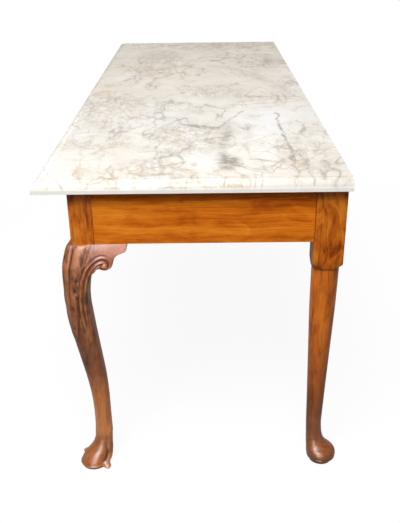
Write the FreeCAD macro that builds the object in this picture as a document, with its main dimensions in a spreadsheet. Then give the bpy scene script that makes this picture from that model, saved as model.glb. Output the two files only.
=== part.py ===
import FreeCAD, Part
import math
import os
import re
import Sketcher

# Pier table: a loose marble slab on a walnut frame, with carved cabriole legs in front and turned
# club legs behind. Millimetres: the origin is on the floor, midway between the two ends and midway
# from the front of the slab to the back feet. +X runs along the table, the front is towards -Y, and
# +Z is up.

Vector = FreeCAD.Vector

doc = FreeCAD.newDocument("pier_table")
sheet = doc.addObject("Spreadsheet::Sheet", "sizes")

# Driving sizes: name, millimetres, meaning
DRIVING_SIZES = [
    ("slab_length", "1880", "marble slab along the wall"),
    ("slab_depth", "680", "marble slab from front to back"),
    ("slab_thickness", "27", "marble slab, top to underside"),
    ("moulding_width", "23", "moulded edge of the slab, measured in from its outline"),
    ("moulding_quirk", "2", "upright step under the arris of the moulded edge"),
    ("moulding_band", "8", "plain upright band under the round of the moulded edge"),
    ("table_height", "764", "floor to the top of the slab"),
    ("front_overhang", "72", "slab beyond the front of the frame"),
    ("back_overhang", "10", "slab beyond the back of the frame"),
    ("end_overhang", "19", "slab beyond each end of the frame"),
    ("rail_height", "123", "frame rails, top to bottom edge"),
    ("rail_thickness", "24", "frame rails, outer to inner face"),
    ("front_post", "52", "square post at the top of a front leg"),
    ("back_block", "64", "square block at the top of a back leg"),
    ("block_drop", "70", "back block below the rails"),
    ("pommel_rise", "15", "turned shoulder at the corners of the back block"),
    ("bracket_length", "71", "knee bracket along its rail"),
    ("bracket_depth", "57", "knee bracket below its rail"),
    ("bracket_ledge", "6", "knee bracket proud of its rail at the tip"),
    ("foot_height", "70", "front foot, floor to ankle"),
    ("club_height", "105", "back foot, floor to ankle"),
    ("pad_height", "5", "flat pad under a back foot"),
    ("tenon_thickness", "9", "tenons of the rails"),
    ("tenon_shoulder", "14", "rail above and below its tenon"),
    ("mortise_wall", "4", "wood left between the two mortises of a post"),
    ("joint_clearance", "0.2", "glue line around tenons and dovetails"),
    ("peg_diameter", "8", "pegs through the tenons"),
    ("peg_bite", "10", "peg beyond its tenon"),
    ("peg_clearance", "0.05", "gap around a peg"),
    ("bearer_width", "70", "cross bearers under the slab"),
    ("bearer_height", "28", "cross bearers, top to bottom"),
    ("bearer_spacing", "560", "from one cross bearer to the next"),
    ("dovetail_length", "15", "bearer dovetail into its rail"),
    ("dovetail_neck", "42", "narrow end of a bearer dovetail"),
    ("dovetail_end", "54", "wide end of a bearer dovetail"),
    ("glue_block", "26", "corner glue block along each of its two faces"),
    ("glue_block_gap", "12", "corner glue block short of the rail edges"),
    ("overrun", "5", "every cut beyond the face it leaves by"),
]

# Pegs sit at these shares of the rail height
PEG_HEIGHT_SHARES = (0.3, 0.7)

# Middle of a quarter round, from its centre and from the corner that it rounds, as shares of its
# radius
QUARTER_ROUND_SHARE = math.sqrt(0.5)
CORNER_MIDDLE_SHARE = 1 - QUARTER_ROUND_SHARE

# Cabriole leg from ankle to knee. Height is a share of ankle to knee_bottom. The rest are shares of
# the post: outer and inner face from the outer face of the post, then the rounding of the outer,
# the two side and the inner corners.
CABRIOLE_SHARES = [
    (0.000, 0.170, 0.970, 0.380, 0.380, 0.380),
    (0.052, 0.227, 0.969, 0.355, 0.355, 0.355),
    (0.135, 0.247, 0.979, 0.350, 0.350, 0.350),
    (0.250, 0.205, 0.969, 0.365, 0.360, 0.360),
    (0.375, 0.098, 0.913, 0.385, 0.375, 0.370),
    (0.500, -0.075, 0.815, 0.410, 0.390, 0.360),
    (0.625, -0.265, 0.712, 0.430, 0.380, 0.320),
    (0.738, -0.417, 0.623, 0.430, 0.360, 0.260),
    (0.821, -0.482, 0.577, 0.420, 0.320, 0.200),
    (0.884, -0.497, 0.600, 0.400, 0.280, 0.140),
    (0.925, -0.496, 0.660, 0.390, 0.240, 0.100),
    (0.956, -0.490, 0.727, 0.380, 0.200, 0.080),
    (0.974, -0.485, 0.790, 0.380, 0.160, 0.060),
    (0.989, -0.480, 0.880, 0.380, 0.100, 0.060),
    (1.000, -0.473, 1.000, 0.380, 0.060, 0.060),
]

# Knee from knee_bottom up to the rails, as above with the height a share of bracket_depth
KNEE_SHARES = [
    (0.00, -0.473, 1.000, 0.380, 0.060, 0.060),
    (0.35, -0.419, 1.000, 0.360, 0.060, 0.060),
    (0.70, -0.333, 1.000, 0.300, 0.050, 0.060),
    (1.00, -0.200, 1.000, 0.220, 0.040, 0.060),
]

# Swell of the knee halfway up the knee, as a share of the post
KNEE_MIDDLE_SHARE = 0.385

# Middle lobe of the front foot: height as a share of foot_height, then the centre from the outer
# faces of the post and the radius as shares of the post
FOOT_SHARES = [
    (0.00, 0.245, 0.755),
    (0.17, 0.230, 0.780),
    (0.31, 0.250, 0.750),
    (0.49, 0.330, 0.650),
    (0.66, 0.440, 0.530),
    (0.83, 0.530, 0.430),
    (1.00, 0.583, 0.375),
]

# Side toe of the front foot: height as a share of foot_height, then the centre from the two outer
# faces of the post and the radius as shares of the post
TOE_SHARES = [
    (0.00, -0.360, 0.745, 0.155),
    (0.14, -0.350, 0.750, 0.155),
    (0.29, -0.250, 0.765, 0.135),
    (0.50, -0.040, 0.785, 0.125),
    (0.86, 0.230, 0.800, 0.115),
    (1.36, 0.385, 0.808, 0.087),
]

# Flute between the middle lobe and a side toe: centre and radius as shares of the post
FLUTE_SHARES = (-0.530, 0.500, 0.155)

# Back leg: club foot from its floor pad to the ankle, then the shaft up to the block. Height is a
# share of the foot and of the shaft. Then the centre towards the outer corner and the radius as
# shares of the block.
CLUB_SHARES = [
    (0.00, 0.270, 0.490),
    (0.07, 0.280, 0.545),
    (0.15, 0.275, 0.552),
    (0.24, 0.235, 0.515),
    (0.35, 0.160, 0.445),
    (0.49, 0.075, 0.375),
    (0.67, 0.005, 0.325),
    (0.85, -0.030, 0.303),
    (1.00, -0.039, 0.298),
]
SHAFT_SHARES = [
    (0.00, -0.039, 0.298),
    (0.25, -0.033, 0.348),
    (0.50, -0.026, 0.405),
    (0.75, -0.018, 0.464),
    (1.00, -0.008, 0.488),
]
PAD_SHARES = (0.270, 0.420)

# Knee bracket in side view, as shares of its length and depth. The word marks the middle of a round
# stretch between its neighbours.
BRACKET_SHARES = [
    (1.00, 0.00),
    (0.99, -0.11),
    (0.965, -0.235, "round"),
    (0.89, -0.310),
    (0.75, -0.350),
    (0.585, -0.465, "round"),
    (0.51, -0.690),
    (0.30, -1.000, "round"),
    (0.125, -0.915),
    (0.060, -0.922, "round"),
    (0.00, -0.955),
]

# Swell of the knee bracket: place as a share of its length, and the share of the knee's swell there
BRACKET_SWELL_SHARES = [(0.0, 1.0), (0.35, 0.36), (1.0, 0.0)]

# Free corner of a glue block, as a share of its two faces
GLUE_CORNER_SHARE = 0.35

# How far a back foot stands out beyond the block, as a share of the block
CLUB_REACH_SHARE = max(centre + radius for _, centre, radius in CLUB_SHARES) - 0.5

# Sizes that follow from the driving ones. The overall depth runs from the front of the slab to the
# back feet, and its middle is the origin.
DERIVED_SIZES = [
    ("end_face", "=slab_length / 2 - end_overhang", "outer face of the end rails"),
    ("frame_depth", "=slab_depth - front_overhang - back_overhang", "frame, front to back face"),
    ("club_reach", f"={CLUB_REACH_SHARE} * back_block", "back foot beyond the back of the frame"),
    ("overall_depth", "=front_overhang + frame_depth + club_reach", "slab front to back feet"),
    ("front_face", "=front_overhang - overall_depth / 2", "outer face of the front rail"),
    ("back_face", "=front_face + frame_depth", "outer face of the back rail"),
    ("slab_middle", "=(slab_depth - overall_depth) / 2", "middle of the slab, front to back"),
    ("frame_top", "=table_height - slab_thickness", "underside of the slab"),
    ("rail_bottom", "=frame_top - rail_height", "lower edge of the rails"),
    ("knee_bottom", "=rail_bottom - bracket_depth", "end of the flat joint under a knee bracket"),
    ("block_bottom", "=rail_bottom - block_drop", "end of the square back block"),
    ("tenon_inset", "=(rail_thickness - tenon_thickness) / 2", "tenon from the outer face of its rail"),
    ("tenon_far", "=tenon_inset + tenon_thickness", "inner face of a tenon from that outer face"),
    ("front_tenon", "=front_post - tenon_far - mortise_wall", "tenon length into a front post"),
    ("back_tenon", "=back_block - tenon_far - mortise_wall", "tenon length into a back block"),
    ("peg_length", "=tenon_far + peg_bite", "peg from the outer face inward"),
    ("peg_radius", "=peg_diameter / 2", "peg"),
    ("glue_height", "=rail_height - 2 * glue_block_gap", "corner glue block, top to bottom"),
]

for row, (alias, content, meaning) in enumerate(DRIVING_SIZES + DERIVED_SIZES, start=1):
    sheet.set(f"A{row}", meaning)
    sheet.set(f"B{row}", content)
    sheet.setAlias(f"B{row}", alias)
doc.recompute()

nodes = []


def sized(expression):
    """The expression with each size's name pointing at its cell."""
    return re.sub(r"[a-z_]+", lambda word: f"sizes.{word.group()}", expression)


def value(expression):
    return float(sheet.evalExpression(sized(expression)))


def bind(item, name, expression):
    item.setExpression(name, sized(expression))


def place(item, x, y, z):
    """Tie the item's Placement to three expressions."""
    for axis, expression in zip("xyz", (x, y, z)):
        bind(item, f".Placement.Base.{axis}", expression)


def as_node(item, name):
    """Give the item its node name and hand it in."""
    item.Label = name
    nodes.append(item)
    return item


def new_body(name):
    return doc.addObject("PartDesign::Body", name)


def origin_plane(body, role):
    return next(feature for feature in body.Origin.OriginFeatures if feature.Role == role)


def new_sketch(body, name, role, offset="0"):
    """A sketch on an origin plane of its body, moved along the plane's normal."""
    sketch = body.newObject("Sketcher::SketchObject", name)
    sketch.AttachmentSupport = [(origin_plane(body, role), "")]
    sketch.MapMode = "FlatFace"
    bind(sketch, ".AttachmentOffset.Base.z", offset)
    return sketch


def constrain(sketch, expression, kind, *what):
    index = sketch.addConstraint(Sketcher.Constraint(kind, *what, value(expression)))
    bind(sketch, f"Constraints[{index}]", expression)


def pin(sketch, geometry, point, x, y):
    """Hold a point at two expressions from the sketch origin."""
    constrain(sketch, x, "DistanceX", -1, 1, geometry, point)
    constrain(sketch, y, "DistanceY", -1, 1, geometry, point)


def add_circle(sketch, x, y, radius):
    centre = Vector(value(x), value(y), 0)
    circle = sketch.addGeometry(Part.Circle(centre, Vector(0, 0, 1), value(radius)))
    pin(sketch, circle, 3, x, y)
    constrain(sketch, radius, "Radius", circle)


def add_outline(sketch, stations):
    """A closed outline through stations (x, y). A third item marks the middle of an arc."""
    corners = [station for station in stations if len(station) == 2]
    middles = {}
    for index, station in enumerate(stations):
        if len(station) > 2:
            middles[stations[index - 1]] = station
    ends = []
    for index, corner in enumerate(corners):
        following = corners[(index + 1) % len(corners)]
        start = Vector(value(corner[0]), value(corner[1]), 0)
        stop = Vector(value(following[0]), value(following[1]), 0)
        first, last = 1, 2
        if corner in middles:
            x, y = middles[corner][:2]
            through = Vector(value(x), value(y), 0)
            if (through - start).cross(stop - through).z < 0:
                first, last = 2, 1
            lower, upper = (start, stop) if first == 1 else (stop, start)
            edge = sketch.addGeometry(Part.Arc(lower, through, upper))
            middle = sketch.addGeometry(Part.Point(through), True)
            pin(sketch, middle, 1, x, y)
            sketch.addConstraint(Sketcher.Constraint("PointOnObject", middle, 1, edge))
        else:
            edge = sketch.addGeometry(Part.LineSegment(start, stop))
        pin(sketch, edge, first, *corner)
        ends.append((edge, first, last))
    for index, (edge, first, last) in enumerate(ends):
        next_edge, next_first, _ = ends[(index + 1) % len(ends)]
        sketch.addConstraint(Sketcher.Constraint("Coincident", edge, last, next_edge, next_first))


def add_rectangle(sketch, left, right, low, high):
    add_outline(sketch, [(left, low), (right, low), (right, high), (left, high)])


def pad(body, name, sketch, length, symmetric=False):
    feature = body.newObject("PartDesign::Pad", name)
    feature.Profile = sketch
    feature.SideType = "Symmetric" if symmetric else "One side"
    bind(feature, "Length", length)
    return feature


def pocket(body, name, sketch, length, symmetric=False, reverse=False):
    """Cut the sketch into the body, and make sure that wood or stone came away."""
    doc.recompute()
    before = body.Shape.Volume
    feature = body.newObject("PartDesign::Pocket", name)
    feature.Profile = sketch
    feature.SideType = "Symmetric" if symmetric else "One side"
    feature.Reversed = reverse
    bind(feature, "Length", length)
    doc.recompute()
    if body.Shape.Volume >= before:
        raise RuntimeError(f"{name} cuts nothing")
    return feature


def loft(body, name, sections):
    feature = body.newObject("PartDesign::AdditiveLoft", name)
    feature.Profile = sections[0]
    feature.Sections = sections[1:]
    return feature


def mirrored(source, name, normal, base_x="0", base_y="0"):
    """The mirror image of an item across an upright plane."""
    item = doc.addObject("Part::Mirroring", name)
    item.Source = source
    item.Normal = normal
    bind(item, ".Base.x", base_x)
    bind(item, ".Base.y", base_y)
    return item


def both_ends(source, stem, tail):
    """Hand in an item of the left end and its mirror image at the right end."""
    as_node(source, f"{stem}left_{tail}")
    as_node(mirrored(source, f"{stem}right_{tail}", Vector(1, 0, 0)), f"{stem}right_{tail}")


def peg_heights():
    return [f"{share} * rail_height" for share in PEG_HEIGHT_SHARES]


def make_slab():
    """Marble slab: moulded along the front and both ends, square along the back."""
    body = new_body("marble_top_body")
    place(body, "0", "slab_middle", "frame_top")
    outline = new_sketch(body, "slab_outline", "XY_Plane")
    add_rectangle(outline, "-slab_length / 2", "slab_length / 2", "-slab_depth / 2", "slab_depth / 2")
    pad(body, "slab", outline, "slab_thickness")

    def moulding(name, role, edge):
        """What the mason takes away outside the moulded edge on the low side of the plane."""
        inner = f"moulding_width - {edge}"
        outside = f"-{edge} - overrun"
        step = "slab_thickness - moulding_quirk"
        above = "slab_thickness + overrun"
        round_x = f"{inner} - {QUARTER_ROUND_SHARE} * moulding_width"
        round_z = f"moulding_band + {QUARTER_ROUND_SHARE} * ({step} - moulding_band)"
        sketch = new_sketch(body, name, role)
        stations = [(inner, step), (round_x, round_z, "round"), (f"-{edge}", "moulding_band")]
        stations += [(outside, "moulding_band"), (outside, above), (inner, above)]
        add_outline(sketch, stations)
        return sketch

    end_profile = moulding("end_profile", "XZ_Plane", "slab_length / 2")
    end_cut = pocket(body, "end_moulding", end_profile, "slab_depth + 2 * overrun", symmetric=True)
    far_end = body.newObject("PartDesign::Mirrored", "far_end_moulding")
    far_end.Originals = [end_cut]
    far_end.MirrorPlane = (origin_plane(body, "YZ_Plane"), [""])
    body.Tip = far_end
    front_profile = moulding("front_profile", "YZ_Plane", "slab_depth / 2")
    pocket(body, "front_moulding", front_profile, "slab_length + 2 * overrun", symmetric=True)
    as_node(body, "marble_top")


def add_tails(sketch, face, inward, clearance):
    """Dovetails of the cross bearers in plan, from the inner face of a long rail outward."""
    for place_share in (-1, 0, 1):
        middle = f"{place_share} * bearer_spacing"
        neck = f"(dovetail_neck / 2 + {clearance})"
        wide = f"(dovetail_end / 2 + {clearance})"
        mouth = f"{face} + {inward} * overrun"
        bottom = f"{face} - {inward} * (dovetail_length + {clearance})"
        add_outline(sketch, [
            (f"{middle} - {neck}", mouth), (f"{middle} + {neck}", mouth),
            (f"{middle} + {neck}", face), (f"{middle} + {wide}", bottom),
            (f"{middle} - {wide}", bottom), (f"{middle} - {neck}", face)])


def make_long_rail(name, face, inward, shoulder, tenon):
    """Front or back rail: tenons at both ends, peg holes and bearer dovetails."""
    body = new_body(f"{name}_body")
    place(body, "0", face, "rail_bottom")

    def across(low, high):
        return (low, high) if inward > 0 else (f"-({high})", f"-({low})")

    section = new_sketch(body, f"{name}_section", "YZ_Plane")
    add_rectangle(section, *across("0", "rail_thickness"), "0", "rail_height")
    pad(body, f"{name}_board", section, f"2 * (end_face - {shoulder})", symmetric=True)
    tongue = new_sketch(body, f"{name}_tenon_section", "YZ_Plane")
    add_rectangle(
        tongue, *across("tenon_inset", "tenon_far"), "tenon_shoulder", "rail_height - tenon_shoulder")
    pad(body, f"{name}_tenons", tongue, f"2 * (end_face - {shoulder} + {tenon})", symmetric=True)
    holes = new_sketch(body, f"{name}_peg_holes", "XZ_Plane")
    for side in (-1, 1):
        for height in peg_heights():
            along = f"{side} * (end_face - {shoulder} + {tenon} / 2)"
            add_circle(holes, along, height, "peg_radius + peg_clearance")
    pocket(body, f"{name}_peg_cut", holes, "2 * (rail_thickness + overrun)", symmetric=True)
    sockets = new_sketch(body, f"{name}_sockets", "XY_Plane", "rail_height")
    add_tails(sockets, f"{inward} * rail_thickness", inward, "joint_clearance")
    pocket(body, f"{name}_socket_cut", sockets, "bearer_height")
    as_node(body, name)


def make_end_rails():
    """Rail at each end of the frame, tenoned into a front post and a back block."""
    body = new_body("end_rail_body")
    place(body, "-end_face", "0", "rail_bottom")
    near = "(front_face + front_post)"
    far = "(back_face - back_block)"
    section = new_sketch(body, "end_rail_section", "XZ_Plane", f"-{far}")
    add_rectangle(section, "0", "rail_thickness", "0", "rail_height")
    pad(body, "end_rail_board", section, f"{far} - {near}")
    tongue = new_sketch(body, "end_rail_tenon_section", "XZ_Plane", f"-({far} + back_tenon)")
    add_rectangle(tongue, "tenon_inset", "tenon_far", "tenon_shoulder", "rail_height - tenon_shoulder")
    pad(body, "end_rail_tenons", tongue, f"{far} - {near} + front_tenon + back_tenon")
    holes = new_sketch(body, "end_rail_peg_holes", "YZ_Plane")
    for height in peg_heights():
        add_circle(holes, f"{near} - front_tenon / 2", height, "peg_radius + peg_clearance")
        add_circle(holes, f"{far} + back_tenon / 2", height, "peg_radius + peg_clearance")
    pocket(body, "end_rail_peg_cut", holes, "2 * (rail_thickness + overrun)", symmetric=True)
    both_ends(body, "", "end_rail")


def add_section(body, name, height, shares):
    """Rounded square across a front leg, in shares of the post from its outer corner."""
    low, high, outer, side, inner = shares
    corners = [
        (low, low, 1, 1, outer),
        (high, low, -1, 1, side),
        (high, high, -1, -1, inner),
        (low, high, 1, -1, side)]
    stations = []
    for index, (x, y, x_in, y_in, radius) in enumerate(corners):
        middle = radius * CORNER_MIDDLE_SHARE
        along_x = (x + x_in * radius, y)
        along_y = (x, y + y_in * radius)
        ends = (along_y, along_x) if index % 2 == 0 else (along_x, along_y)
        stations += [ends[0], (x + x_in * middle, y + y_in * middle, "round"), ends[1]]
    sketch = new_sketch(body, name, "XY_Plane", height)
    add_outline(sketch, [
        (f"{x:.5f} * front_post", f"{y:.5f} * front_post", *mark) for x, y, *mark in stations])
    return sketch


def add_mortises(body, name, post, tenon, x_face, y_face, x_in, y_in):
    """Two mortises and their peg holes in a post, whose outer faces lie at x_face and y_face."""
    low = "rail_bottom + tenon_shoulder - joint_clearance"
    high = "frame_top - tenon_shoulder + joint_clearance"
    depth = f"{tenon} + joint_clearance"

    def band(face, inward):
        near = f"{face} + {inward} * (tenon_inset - joint_clearance)"
        far = f"{face} + {inward} * (tenon_far + joint_clearance)"
        return (near, far) if inward > 0 else (far, near)

    long_rail = new_sketch(body, f"{name}_long_mortise", "YZ_Plane", f"{x_face} + {x_in} * {post}")
    add_rectangle(long_rail, *band(y_face, y_in), low, high)
    pocket(body, f"{name}_long_mortise_cut", long_rail, depth, reverse=x_in < 0)
    end_rail = new_sketch(body, f"{name}_end_mortise", "XZ_Plane", f"-({y_face} + {y_in} * {post})")
    add_rectangle(end_rail, *band(x_face, x_in), low, high)
    pocket(body, f"{name}_end_mortise_cut", end_rail, depth, reverse=y_in > 0)
    hole = "peg_radius + peg_clearance"
    bore = "peg_length + joint_clearance"
    long_pegs = new_sketch(body, f"{name}_long_peg_holes", "XZ_Plane", f"-({y_face})")
    end_pegs = new_sketch(body, f"{name}_end_peg_holes", "YZ_Plane", x_face)
    for height in peg_heights():
        centre = f"({post} - {tenon} / 2)"
        add_circle(long_pegs, f"{x_face} + {x_in} * {centre}", f"rail_bottom + {height}", hole)
        add_circle(end_pegs, f"{y_face} + {y_in} * {centre}", f"rail_bottom + {height}", hole)
    pocket(body, f"{name}_long_peg_cut", long_pegs, bore, reverse=y_in < 0)
    pocket(body, f"{name}_end_peg_cut", end_pegs, bore, reverse=x_in > 0)


def make_front_legs():
    """Cabriole leg: square post, swelling knee, slender ankle and a foot of three toes."""
    body = new_body("front_leg_body")
    place(body, "-end_face", "front_face", "0")
    post = new_sketch(body, "post_section", "XY_Plane", "rail_bottom")
    add_rectangle(post, "0", "front_post", "0", "front_post")
    pad(body, "post", post, "rail_height")
    loft(body, "knee", [
        add_section(body, f"knee_section_{index}", f"knee_bottom + {share} * bracket_depth", shares)
        for index, (share, *shares) in enumerate(KNEE_SHARES)])
    shin = "(knee_bottom - foot_height)"
    loft(body, "cabriole", [
        add_section(body, f"leg_section_{index}", f"foot_height + {share} * {shin}", shares)
        for index, (share, *shares) in enumerate(CABRIOLE_SHARES)])
    lobe = []
    for index, (share, centre, radius) in enumerate(FOOT_SHARES):
        sketch = new_sketch(body, f"lobe_section_{index}", "XY_Plane", f"{share} * foot_height")
        add_circle(sketch, f"{centre} * front_post", f"{centre} * front_post", f"{radius} * front_post")
        lobe.append(sketch)
    loft(body, "middle_lobe", lobe)
    flute_out, flute_along, flute_radius = FLUTE_SHARES
    flutes = new_sketch(body, "flutes", "XY_Plane")
    for x, y in ((flute_out, flute_along), (flute_along, flute_out)):
        add_circle(flutes, f"{x} * front_post", f"{y} * front_post", f"{flute_radius} * front_post")
    pocket(body, "flute_cut", flutes, "foot_height", reverse=True)
    for side, swap in (("end", False), ("front", True)):
        toe = []
        for index, (share, out, along, radius) in enumerate(TOE_SHARES):
            x, y = (along, out) if swap else (out, along)
            sketch = new_sketch(body, f"{side}_toe_section_{index}", "XY_Plane", f"{share} * foot_height")
            add_circle(sketch, f"{x} * front_post", f"{y} * front_post", f"{radius} * front_post")
            toe.append(sketch)
        loft(body, f"{side}_toe", toe)
    add_mortises(body, "front_leg", "front_post", "front_tenon", "0", "0", 1, 1)
    both_ends(body, "front_", "leg")


def make_back_legs():
    """Turned leg: square block with a pommel shoulder, tapering shaft and a club foot set outward."""
    body = new_body("back_leg_body")
    place(body, "back_block / 2 - end_face", "back_face - back_block / 2", "0")
    block = new_sketch(body, "block_section", "XY_Plane", "block_bottom")
    add_rectangle(block, "-back_block / 2", "back_block / 2", "-back_block / 2", "back_block / 2")
    pad(body, "block", block, "rail_height + block_drop")
    shoulder = new_sketch(body, "pommel_profile", "XZ_Plane")
    corner = f"({QUARTER_ROUND_SHARE} * back_block)"
    beyond = f"({corner} + overrun)"
    slope = f"pommel_rise / ({corner} - back_block / 2)"
    add_outline(shoulder, [
        ("back_block / 2", "block_bottom"),
        (beyond, f"block_bottom + ({beyond} - back_block / 2) * {slope}"),
        (beyond, "block_bottom - overrun"),
        ("back_block / 2", "block_bottom - overrun")])
    doc.recompute()
    before = body.Shape.Volume
    pommel = body.newObject("PartDesign::Groove", "pommel")
    pommel.Profile = shoulder
    pommel.ReferenceAxis = (shoulder, ["V_Axis"])
    pommel.Angle = 360
    doc.recompute()
    if body.Shape.Volume >= before:
        raise RuntimeError("pommel cuts nothing")

    def add_round(name, height, centre, radius):
        sketch = new_sketch(body, name, "XY_Plane", height)
        add_circle(sketch, f"{-centre} * back_block", f"{centre} * back_block", f"{radius} * back_block")
        return sketch

    loft(body, "club_foot", [
        add_round(f"foot_round_{index}", f"pad_height + {share} * (club_height - pad_height)", *shares)
        for index, (share, *shares) in enumerate(CLUB_SHARES)])
    loft(body, "shaft", [
        add_round(f"shaft_round_{index}", f"club_height + {share} * (block_bottom - club_height)", *shares)
        for index, (share, *shares) in enumerate(SHAFT_SHARES)])
    pad(body, "floor_pad", add_round("pad_round", "0", *PAD_SHARES), "pad_height")
    add_mortises(
        body, "back_leg", "back_block", "back_tenon", "-back_block / 2", "back_block / 2", 1, -1)
    both_ends(body, "back_", "leg")


def bracket_face(swell_share, knee_share):
    """How far a knee bracket stands out, between the knee's own swell and the ledge at the tip."""
    return f"-({swell_share * knee_share:.5f} * front_post + {1 - swell_share:.5f} * bracket_ledge)"


def make_brackets():
    """Scrolled ear on each side of a knee, seated on the leg and under the rail."""
    body = new_body("end_bracket_body")
    place(body, "-end_face", "front_face + front_post", "rail_bottom")
    knee_bottom_share = -KNEE_SHARES[0][1]
    knee_top_share = -KNEE_SHARES[-1][1]
    sections = []
    for index, (share, swell_share) in enumerate(BRACKET_SWELL_SHARES):
        sketch = new_sketch(body, f"bracket_section_{index}", "XZ_Plane", f"-{share} * bracket_length")
        stations = [(bracket_face(swell_share, knee_top_share), "0")]
        if swell_share:
            middle = bracket_face(swell_share, KNEE_MIDDLE_SHARE)
            stations.append((middle, "-bracket_depth / 2", "round"))
        stations += [
            (bracket_face(swell_share, knee_bottom_share), "-bracket_depth"),
            ("rail_thickness", "-bracket_depth"),
            ("rail_thickness", "0")]
        add_outline(sketch, stations)
        sections.append(sketch)
    loft(body, "ear_blank", sections)
    waste = new_sketch(body, "ear_outline", "YZ_Plane")
    stations = [(f"{x} * bracket_length", f"{z} * bracket_depth", *mark) for x, z, *mark in BRACKET_SHARES]
    stations += [
        ("-overrun", stations[-1][1]), ("-overrun", "-bracket_depth - overrun"),
        ("bracket_length + overrun", "-bracket_depth - overrun"), ("bracket_length + overrun", "0")]
    add_outline(waste, stations)
    pocket(body, "ear_cut", waste, "2 * (front_post + rail_thickness)", symmetric=True)
    diagonal = mirrored(body, "front_bracket", Vector(1, -1, 0), "-end_face", "front_face")
    both_ends(body, "", "end_bracket")
    both_ends(diagonal, "", "front_bracket")


def make_bearers():
    """Cross bearers that carry the slab between the long rails, dovetailed into their top edges."""
    for name, place_share in (("left", -1), ("centre", 0), ("right", 1)):
        body = new_body(f"{name}_bearer_body")
        place(body, f"{place_share} * bearer_spacing", "0", "frame_top - bearer_height")
        near = "(front_face + rail_thickness)"
        far = "(back_face - rail_thickness)"
        half = "bearer_width / 2"
        neck = "dovetail_neck / 2"
        wide = "dovetail_end / 2"
        right = [
            (wide, f"{near} - dovetail_length"), (neck, near), (half, near),
            (half, far), (neck, far), (wide, f"{far} + dovetail_length")]
        left = [(f"-({x})", y) for x, y in reversed(right)]
        plan = new_sketch(body, f"{name}_bearer_plan", "XY_Plane")
        add_outline(plan, right + left)
        pad(body, f"{name}_bearer_board", plan, "bearer_height")
        as_node(body, f"{name}_bearer")


def make_glue_blocks():
    """Pair of glue blocks in the angles between a post and its two rails."""
    for end, post, face, inward in (
            ("front", "front_post", "front_face", 1), ("back", "back_block", "back_face", -1)):
        body = new_body(f"{end}_glue_block")
        inner_face = f"{face} + {inward} * rail_thickness"
        place(body, f"{post} - end_face", inner_face, "rail_bottom + glue_block_gap")
        short = f"{GLUE_CORNER_SHARE} * glue_block"
        corners = [("0", "0"), ("glue_block", "0"), ("glue_block", short)]
        corners += [(short, "glue_block"), ("0", "glue_block")]
        plan = new_sketch(body, f"{end}_glue_plan", "XY_Plane")
        add_outline(plan, [(x, f"{inward} * {y}") for x, y in corners])
        pad(body, f"{end}_glue_prism", plan, "glue_height")
        other = mirrored(body, f"{end}_glue_other", Vector(1, -inward, 0), "-end_face", face)
        pair = doc.addObject("Part::Compound", f"{end}_glue_pair")
        pair.Links = [body, other]
        both_ends(pair, f"{end}_", "glue_blocks")


def make_pegs():
    """Four pegs in each post, driven from the outer faces through the two tenons."""
    for end, post, tenon, face, inward in (
            ("front", "front_post", "front_tenon", "front_face", 1),
            ("back", "back_block", "back_tenon", "back_face", -1)):
        pegs = []
        for index, height in enumerate(peg_heights()):
            peg = doc.addObject("Part::Cylinder", f"{end}_peg_{index}")
            bind(peg, "Radius", "peg_radius")
            bind(peg, "Height", "peg_length")
            peg.Placement.Rotation = FreeCAD.Rotation(Vector(0, 0, 1), Vector(0, inward, 0))
            place(peg, f"{post} - {tenon} / 2 - end_face", face, f"rail_bottom + {height}")
            other = mirrored(peg, f"{end}_peg_other_{index}", Vector(1, -inward, 0), "-end_face", face)
            pegs += [peg, other]
        group = doc.addObject("Part::Compound", f"{end}_peg_group")
        group.Links = pegs
        both_ends(group, f"{end}_", "pegs")


make_slab()
make_long_rail("front_rail", "front_face", 1, "front_post", "front_tenon")
make_long_rail("back_rail", "back_face", -1, "back_block", "back_tenon")
make_end_rails()
make_front_legs()
make_back_legs()
make_brackets()
make_bearers()
make_glue_blocks()
make_pegs()
doc.recompute()

for item in doc.Objects:
    if "Invalid" in item.State or "Error" in item.State:
        raise RuntimeError(f"{item.Label} failed: {item.State}")
for item in nodes:
    if item.Shape.isNull() or not item.Shape.isValid():
        raise RuntimeError(f"{item.Label} has no valid shape")

os.makedirs("parts", exist_ok=True)
for item in nodes:
    item.Shape.exportStep(f"parts/{item.Label}.step")
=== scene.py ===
import math

import bmesh
import bpy
import numpy as np
from mathutils import Matrix, Vector


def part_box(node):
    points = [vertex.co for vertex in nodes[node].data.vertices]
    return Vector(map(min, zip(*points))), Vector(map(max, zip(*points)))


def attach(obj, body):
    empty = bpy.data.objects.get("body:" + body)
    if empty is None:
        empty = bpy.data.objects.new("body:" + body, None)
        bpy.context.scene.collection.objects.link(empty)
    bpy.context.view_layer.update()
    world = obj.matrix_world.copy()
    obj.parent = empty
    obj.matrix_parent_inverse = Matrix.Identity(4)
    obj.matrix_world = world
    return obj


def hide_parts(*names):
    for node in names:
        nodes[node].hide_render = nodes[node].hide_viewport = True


# Looks of a marble-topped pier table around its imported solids, in metres: +X along the table, the
# carved legs towards -Y, +Z up.
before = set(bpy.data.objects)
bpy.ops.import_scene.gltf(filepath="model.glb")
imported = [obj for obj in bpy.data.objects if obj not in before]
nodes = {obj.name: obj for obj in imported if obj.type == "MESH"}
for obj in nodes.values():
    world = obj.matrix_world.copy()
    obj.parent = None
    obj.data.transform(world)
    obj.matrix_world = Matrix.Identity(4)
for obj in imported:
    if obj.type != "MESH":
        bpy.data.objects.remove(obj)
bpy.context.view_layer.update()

END_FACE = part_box("right_end_rail")[1].x
FRONT_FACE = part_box("front_rail")[0].y
BACK_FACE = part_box("back_rail")[1].y
RAIL_BOTTOM, FRAME_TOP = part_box("front_rail")[0].z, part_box("front_rail")[1].z
RAIL_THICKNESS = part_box("front_rail")[1].y - FRONT_FACE
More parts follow.
